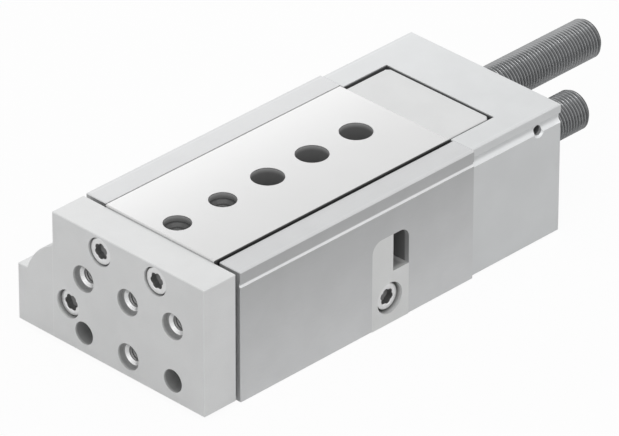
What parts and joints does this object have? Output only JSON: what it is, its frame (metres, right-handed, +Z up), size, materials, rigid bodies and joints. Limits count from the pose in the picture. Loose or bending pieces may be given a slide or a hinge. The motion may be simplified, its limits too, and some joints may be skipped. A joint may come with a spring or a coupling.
{
  "type": "pneumatic mini slide",
  "caption": "Compact pneumatic slide: a ground slide on ball cage guides with a yoke plate, driven by a piston beside it and stopped by shock absorbers.",
  "frame": {"origin": "middle centring bore in the housing's flat mounting face", "axes": "+X the way the slide moves out, +Y the side with the stop window, +Z up out of the mounting face"},
  "size_m": [0.1705, 0.0635, 0.0363],
  "materials": {
    "anodised_housing": "matt clear anodised, fine blasted",
    "anodised_stop": "matt clear anodised",
    "anodised_yoke": "matt clear anodised, milled",
    "ground_steel": "fine ground",
    "anodised_end_block": "matt grey anodised",
    "screw_steel": "bright zinc",
    "rod_chrome": "polished",
    "piston_aluminium": "turned",
    "seal_rubber": "moulded",
    "magnet_plastic": "moulded",
    "bush_brass": "turned",
    "spring_steel": "phosphated",
    "absorber_steel": "rolled thread, nickel plated",
    "tip_plastic": "moulded",
    "hardened_steel": "hardened and ground",
    "cage_plastic": "moulded",
    "ball_steel": "polished"
  },
  "bodies": {
    "housing_body": {"housing": "anodised_housing", "rear_block": "anodised_housing", "rear_block_screws": "screw_steel", "near_guide_rail": "hardened_steel", "far_guide_rail": "hardened_steel", "stop_insert": "anodised_stop", "stop_clamp_screw": "screw_steel", "rod_bush": "bush_brass", "rod_seal": "seal_rubber", "bush_seal": "seal_rubber", "retaining_ring": "spring_steel", "cylinder_plug": "piston_aluminium", "plug_seal": "seal_rubber", "far_absorber_body": "absorber_steel", "absorber_set_screw": "screw_steel"},
    "slide_body": {"slide": "ground_steel", "slide_end_block": "anodised_end_block", "end_block_screws": "screw_steel", "yoke_plate": "anodised_yoke", "yoke_screws": "screw_steel", "rod_screw": "screw_steel", "piston_rod": "rod_chrome", "piston": "piston_aluminium", "piston_seals": "seal_rubber", "piston_magnet": "magnet_plastic", "near_absorber_body": "absorber_steel"},
    "near_cage_body": {"near_ball_cage": "cage_plastic", "near_balls": "ball_steel"},
    "far_cage_body": {"far_ball_cage": "cage_plastic", "far_balls": "ball_steel"},
    "far_plunger_body": {"far_absorber_plunger": "rod_chrome", "far_absorber_tip": "tip_plastic"},
    "near_plunger_body": {"near_absorber_plunger": "rod_chrome", "near_absorber_tip": "tip_plastic"}
  },
  "joints": [
    {"name": "slide_travel", "type": "slide", "parent": "housing_body", "child": "slide_body", "axis": [1, 0, 0], "range_m": [0, 0.03]},
    {"name": "near_cage_travel", "type": "slide", "parent": "housing_body", "child": "near_cage_body", "axis": [1, 0, 0], "range_m": [0, 0.015]},
    {"name": "far_cage_travel", "type": "slide", "parent": "housing_body", "child": "far_cage_body", "axis": [1, 0, 0], "range_m": [0, 0.015]},
    {"name": "far_plunger_travel", "type": "slide", "parent": "housing_body", "child": "far_plunger_body", "axis": [1, 0, 0], "range_m": [0, 0.008]},
    {"name": "near_plunger_travel", "type": "slide", "parent": "slide_body", "child": "near_plunger_body", "axis": [1, 0, 0], "range_m": [-0.008, 0]}
  ],
  "couplings": [
    {"joint": "near_cage_travel", "follows": "slide_travel", "ratio": 0.5},
    {"joint": "far_cage_travel", "follows": "slide_travel", "ratio": 0.5},
    {"joint": "far_plunger_travel", "follows": "slide_travel", "ratio": 0.26667},
    {"joint": "near_plunger_travel", "follows": "slide_travel", "ratio": -0.26667}
  ]
}
